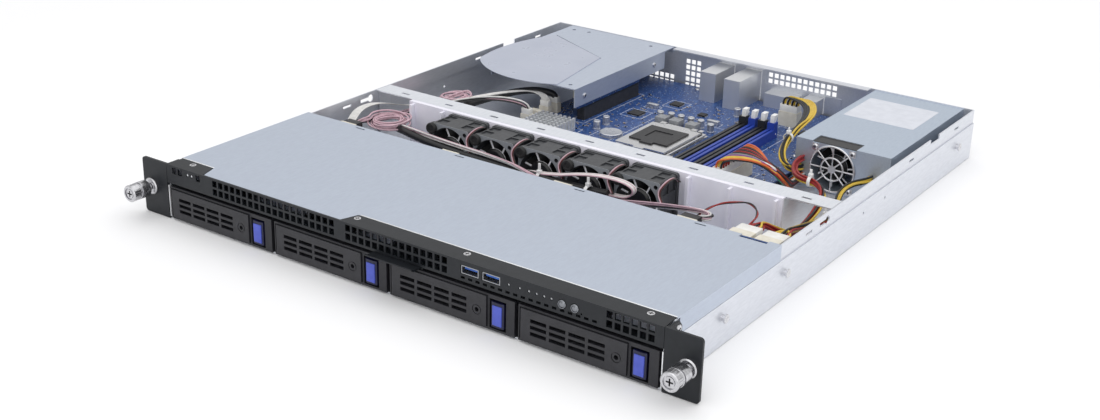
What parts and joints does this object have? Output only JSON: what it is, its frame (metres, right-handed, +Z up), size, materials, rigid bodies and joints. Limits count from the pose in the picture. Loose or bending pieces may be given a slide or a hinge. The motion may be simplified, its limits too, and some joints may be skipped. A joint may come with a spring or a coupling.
{
  "type": "rack server",
  "caption": "Low rack-mount server with hot-swap drive trays across the front, a fan row, an open processor board, a riser and a power supply, rear lid off.",
  "frame": {"origin": "middle of the front panel's face, level with the underside of the chassis", "axes": "+X to the right seen from the front, +Y from the front to the back, +Z up"},
  "size_m": [0.4826, 0.5376, 0.0435],
  "materials": {
    "steel": "zinc plated sheet",
    "black_metal": "satin black coat",
    "black_plastic": "fine texture",
    "blue_plastic": "smooth moulded",
    "memory_slot": "moulded",
    "board": "solder mask",
    "white_plastic": "moulded",
    "cream_plastic": "moulded",
    "component": "moulded",
    "chrome": "bright plating",
    "screw_steel": "bright zinc",
    "aluminium": "plain extruded",
    "button": "moulded",
    "film": "thin polymer film",
    "wire": "insulated wires"
  },
  "bodies": {
    "chassis": {"chassis_pan": "steel", "front_cover": "steel", "cross_bar": "steel", "bay_dividers": "steel", "riser_bracket": "steel", "slot_cover": "steel", "psu_case": "steel", "io_shield": "steel", "rear_port_blocks": "steel", "cpu_socket": "steel", "front_panel": "black_metal", "rack_ears": "black_metal", "fan_frames": "black_plastic", "psu_inlet": "black_plastic", "pcie_slot": "black_plastic", "front_io_module": "black_plastic", "dimm_slots": "memory_slot", "motherboard": "board", "riser_card": "board", "backplane": "board", "fan_shroud": "white_plastic", "board_sockets": "cream_plastic", "board_components": "component", "psu_fan_guard": "chrome", "fasteners": "screw_steel", "chipset_heatsink": "aluminium", "air_guide": "film", "wire_harness": "wire"},
    "tray_1": {"drive_tray_1": "black_plastic"},
    "lever_1": {"tray_lever_1": "black_plastic"},
    "latch_1": {"tray_latch_1": "blue_plastic"},
    "tray_2": {"drive_tray_2": "black_plastic"},
    "lever_2": {"tray_lever_2": "black_plastic"},
    "latch_2": {"tray_latch_2": "blue_plastic"},
    "tray_3": {"drive_tray_3": "black_plastic"},
    "lever_3": {"tray_lever_3": "black_plastic"},
    "latch_3": {"tray_latch_3": "blue_plastic"},
    "tray_4": {"drive_tray_4": "black_plastic"},
    "lever_4": {"tray_lever_4": "black_plastic"},
    "latch_4": {"tray_latch_4": "blue_plastic"},
    "load_plate": {"cpu_load_plate": "steel", "socket_cap": "black_plastic"},
    "load_lever": {"cpu_load_lever": "steel"},
    "memory_latch_1": {"dimm_latch_1": "white_plastic"},
    "memory_latch_2": {"dimm_latch_2": "white_plastic"},
    "memory_latch_3": {"dimm_latch_3": "white_plastic"},
    "memory_latch_4": {"dimm_latch_4": "white_plastic"},
    "left_clip": {"left_screw_clip": "screw_steel"},
    "right_clip": {"right_screw_clip": "screw_steel"},
    "power_button": {"power_button": "button"},
    "id_button": {"id_button": "button"},
    "pull_tag": {"pull_tag": "black_plastic"},
    "left_thumbscrew": {"left_thumbscrew": "chrome"},
    "right_thumbscrew": {"right_thumbscrew": "chrome"},
    "fan_1": {"fan_rotor_1": "black_plastic"},
    "fan_2": {"fan_rotor_2": "black_plastic"},
    "fan_3": {"fan_rotor_3": "black_plastic"},
    "fan_4": {"fan_rotor_4": "black_plastic"},
    "fan_5": {"fan_rotor_5": "black_plastic"},
    "psu_fan": {"psu_fan_rotor": "black_plastic"}
  },
  "joints": [
    {"name": "tray_1_slide", "type": "slide", "parent": "chassis", "child": "tray_1", "axis": [0, -1, 0], "range_m": [0, 0.14]},
    {"name": "lever_1_swing", "type": "hinge", "parent": "tray_1", "child": "lever_1", "pos_m": [-0.2089, 0.0012, 0.0138], "axis": [0, 0, -1], "range_deg": [0, 50]},
    {"name": "latch_1_press", "type": "slide", "parent": "tray_1", "child": "latch_1", "axis": [0, 1, 0], "range_m": [0, 0.002], "stiffness_N_per_m": 400, "springref_m": -0.001},
    {"name": "tray_2_slide", "type": "slide", "parent": "chassis", "child": "tray_2", "axis": [0, -1, 0], "range_m": [0, 0.14]},
    {"name": "lever_2_swing", "type": "hinge", "parent": "tray_2", "child": "lever_2", "pos_m": [-0.1019, 0.0012, 0.0138], "axis": [0, 0, -1], "range_deg": [0, 50]},
    {"name": "latch_2_press", "type": "slide", "parent": "tray_2", "child": "latch_2", "axis": [0, 1, 0], "range_m": [0, 0.002], "stiffness_N_per_m": 400, "springref_m": -0.001},
    {"name": "tray_3_slide", "type": "slide", "parent": "chassis", "child": "tray_3", "axis": [0, -1, 0], "range_m": [0, 0.14]},
    {"name": "lever_3_swing", "type": "hinge", "parent": "tray_3", "child": "lever_3", "pos_m": [0.0051, 0.0012, 0.0138], "axis": [0, 0, -1], "range_deg": [0, 50]},
    {"name": "latch_3_press", "type": "slide", "parent": "tray_3", "child": "latch_3", "axis": [0, 1, 0], "range_m": [0, 0.002], "stiffness_N_per_m": 400, "springref_m": -0.001},
    {"name": "tray_4_slide", "type": "slide", "parent": "chassis", "child": "tray_4", "axis": [0, -1, 0], "range_m": [0, 0.14]},
    {"name": "lever_4_swing", "type": "hinge", "parent": "tray_4", "child": "lever_4", "pos_m": [0.1121, 0.0012, 0.0138], "axis": [0, 0, -1], "range_deg": [0, 50]},
    {"name": "latch_4_press", "type": "slide", "parent": "tray_4", "child": "latch_4", "axis": [0, 1, 0], "range_m": [0, 0.002], "stiffness_N_per_m": 400, "springref_m": -0.001},
    {"name": "load_plate_hinge", "type": "hinge", "parent": "chassis", "child": "load_plate", "pos_m": [0, 0.383, 0.0132], "axis": [-1, 0, 0], "range_deg": [0, 100]},
    {"name": "load_lever_hinge", "type": "hinge", "parent": "chassis", "child": "load_lever", "pos_m": [0.0255, 0.384, 0.0124], "axis": [-1, 0, 0], "range_deg": [0, 110]},
    {"name": "memory_latch_1_rock", "type": "hinge", "parent": "chassis", "child": "memory_latch_1", "pos_m": [0.0425, 0.4224, 0.0136], "axis": [-1, 0, 0], "range_deg": [0, 25]},
    {"name": "memory_latch_2_rock", "type": "hinge", "parent": "chassis", "child": "memory_latch_2", "pos_m": [0.0517, 0.4224, 0.0136], "axis": [-1, 0, 0], "range_deg": [0, 25]},
    {"name": "memory_latch_3_rock", "type": "hinge", "parent": "chassis", "child": "memory_latch_3", "pos_m": [0.0609, 0.4224, 0.0136], "axis": [-1, 0, 0], "range_deg": [0, 25]},
    {"name": "memory_latch_4_rock", "type": "hinge", "parent": "chassis", "child": "memory_latch_4", "pos_m": [0.0701, 0.4224, 0.0136], "axis": [-1, 0, 0], "range_deg": [0, 25]},
    {"name": "left_screw_press", "type": "slide", "parent": "chassis", "child": "left_clip", "axis": [0, 1, 0], "range_m": [0, 0.0032], "stiffness_N_per_m": 300, "springref_m": -0.002},
    {"name": "right_screw_press", "type": "slide", "parent": "chassis", "child": "right_clip", "axis": [0, 1, 0], "range_m": [0, 0.0032], "stiffness_N_per_m": 300, "springref_m": -0.002},
    {"name": "power_button_press", "type": "slide", "parent": "chassis", "child": "power_button", "axis": [0, 1, 0], "range_m": [0, 0.0012], "stiffness_N_per_m": 500, "springref_m": -0.0005},
    {"name": "id_button_press", "type": "slide", "parent": "chassis", "child": "id_button", "axis": [0, 1, 0], "range_m": [0, 0.0012], "stiffness_N_per_m": 500, "springref_m": -0.0005},
    {"name": "pull_tag_slide", "type": "slide", "parent": "chassis", "child": "pull_tag", "axis": [0, -1, 0], "range_m": [0, 0.045]},
    {"name": "left_screw_turn", "type": "hinge", "parent": "left_clip", "child": "left_thumbscrew", "pos_m": [-0.23255, 0, 0.02175], "axis": [0, 1, 0], "continuous": true},
    {"name": "right_screw_turn", "type": "hinge", "parent": "right_clip", "child": "right_thumbscrew", "pos_m": [0.23255, 0, 0.02175], "axis": [0, 1, 0], "continuous": true},
    {"name": "fan_1_spin", "type": "hinge", "parent": "chassis", "child": "fan_1", "pos_m": [-0.1073, 0.21, 0.0215], "axis": [0, 1, 0], "continuous": true},
    {"name": "fan_2_spin", "type": "hinge", "parent": "chassis", "child": "fan_2", "pos_m": [-0.0626, 0.21, 0.0215], "axis": [0, 1, 0], "continuous": true},
    {"name": "fan_3_spin", "type": "hinge", "parent": "chassis", "child": "fan_3", "pos_m": [-0.0179, 0.21, 0.0215], "axis": [0, 1, 0], "continuous": true},
    {"name": "fan_4_spin", "type": "hinge", "parent": "chassis", "child": "fan_4", "pos_m": [0.0268, 0.21, 0.0215], "axis": [0, 1, 0], "continuous": true},
    {"name": "fan_5_spin", "type": "hinge", "parent": "chassis", "child": "fan_5", "pos_m": [0.0715, 0.21, 0.0215], "axis": [0, 1, 0], "continuous": true},
    {"name": "psu_fan_spin", "type": "hinge", "parent": "chassis", "child": "psu_fan", "pos_m": [0.157, 0.37, 0.0215], "axis": [0, 1, 0], "continuous": true}
  ]
}
